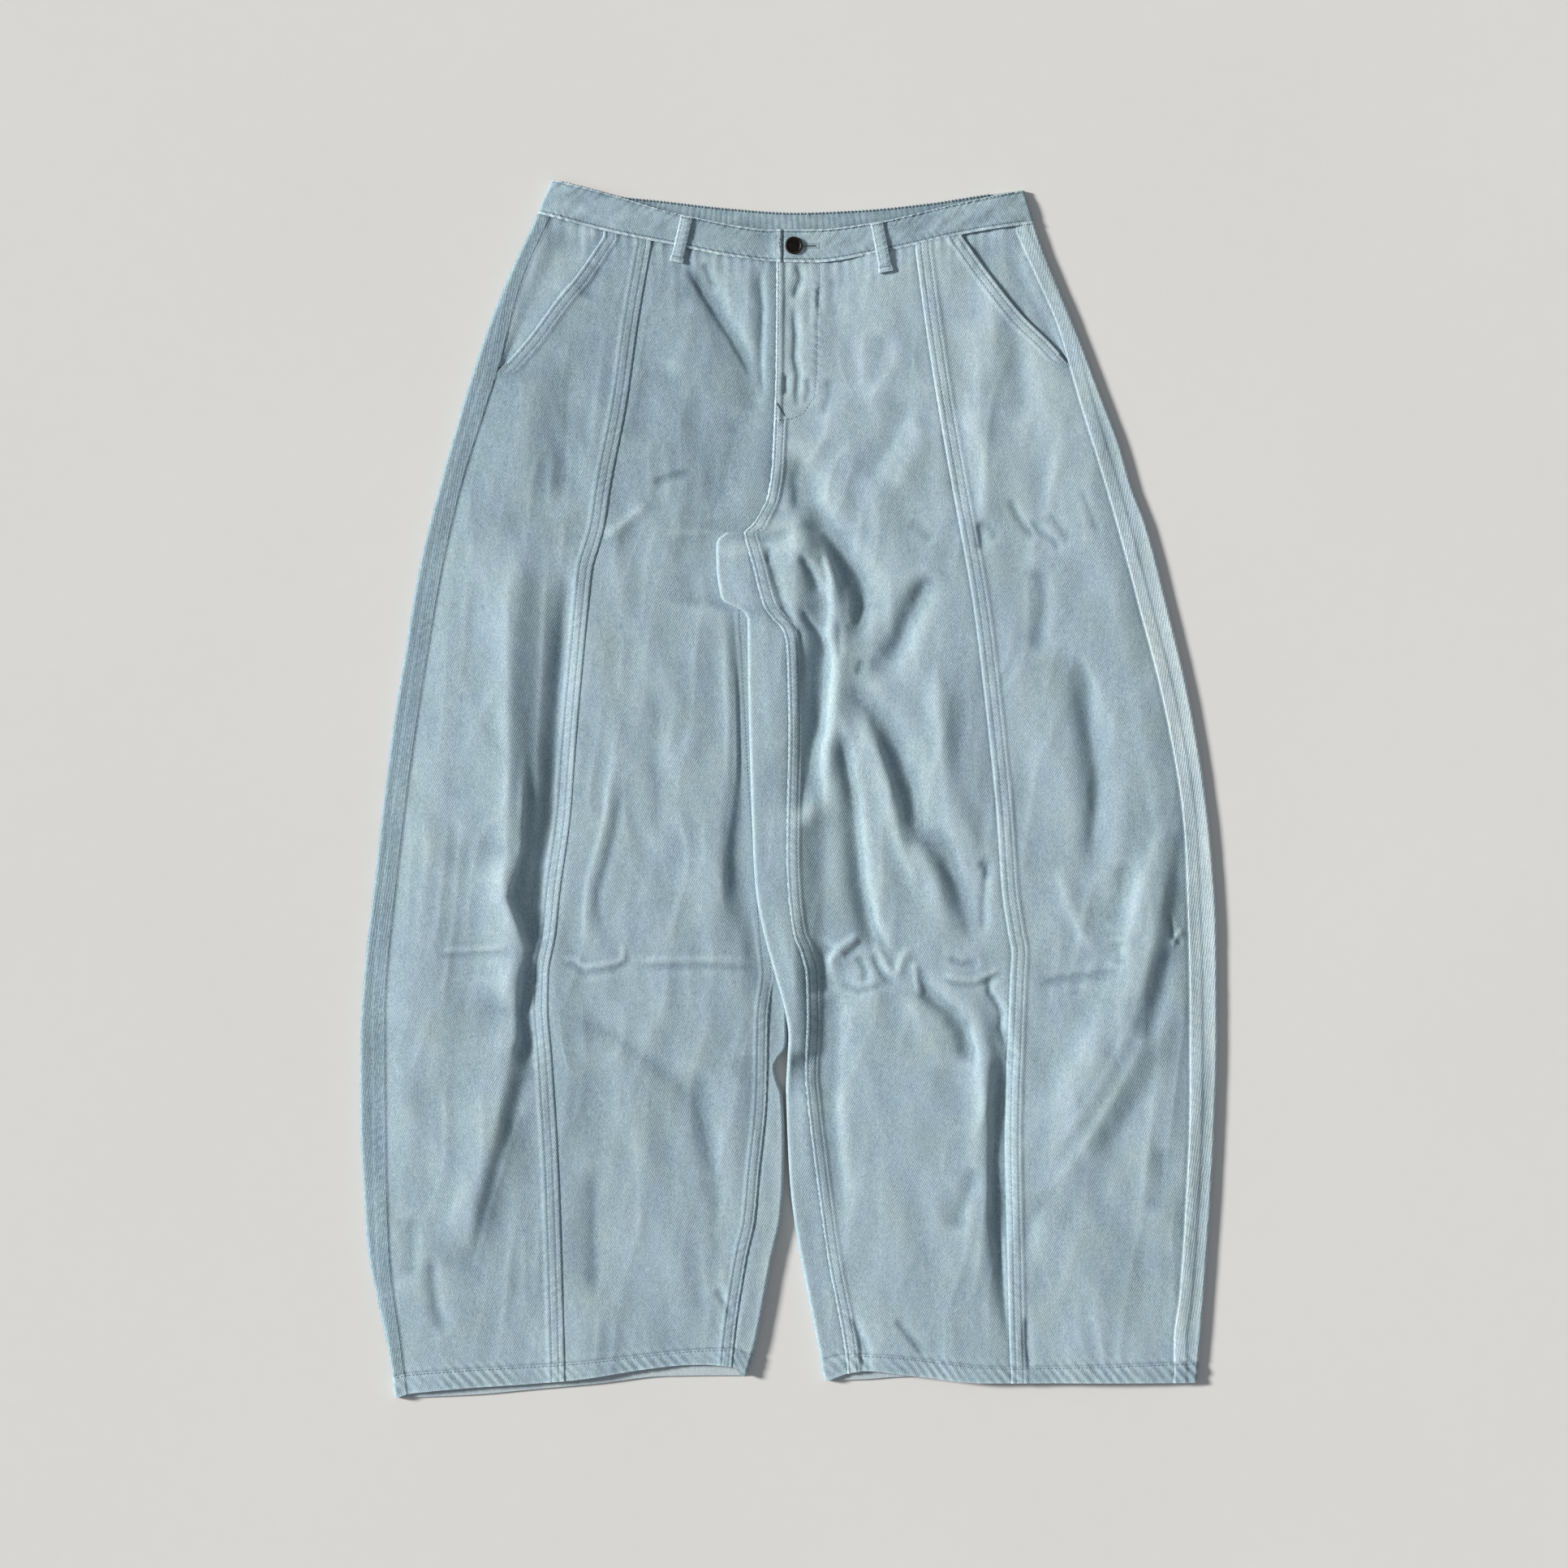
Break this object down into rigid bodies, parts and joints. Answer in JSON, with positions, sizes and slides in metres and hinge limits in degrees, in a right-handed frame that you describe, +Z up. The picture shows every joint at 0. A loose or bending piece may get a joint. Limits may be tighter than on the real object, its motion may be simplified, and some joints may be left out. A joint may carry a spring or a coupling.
{
  "type": "wide-leg jeans",
  "caption": "Wide-leg denim jeans laid flat on their back, with curved panelled legs, slant pockets, a buttoned waistband, belt loops and an elastic back waist.",
  "frame": {"origin": "centre of the flat garment, on the surface that it lies on", "axes": "+Y towards the waist, +X towards the wearer's left leg, +Z up from the surface, through the front of the jeans"},
  "size_m": [0.6969, 0.9892, 0.0157],
  "materials": {
    "denim": "washed light-blue cotton twill, matt, with tone-on-tone stitching",
    "denim_inside": "inner face of the elastic back waist, washed twill, gathered",
    "button": "dark antiqued metal with a worn rim, satin"
  },
  "bodies": {
    "root": {"front_centre_right": "denim", "front_centre_left": "denim", "front_side_right": "denim", "front_side_left": "denim", "pocket_facing_right": "denim", "pocket_facing_left": "denim", "back_side_right": "denim", "back_side_left": "denim", "back_centre_right": "denim", "back_centre_left": "denim", "hem_right": "denim", "hem_left": "denim", "waistband_front_right": "denim", "waistband_front_left": "denim", "waistband_back": "denim_inside", "belt_loop_right": "denim", "belt_loop_left": "denim", "button": "button"}
  },
  "joints": []
}
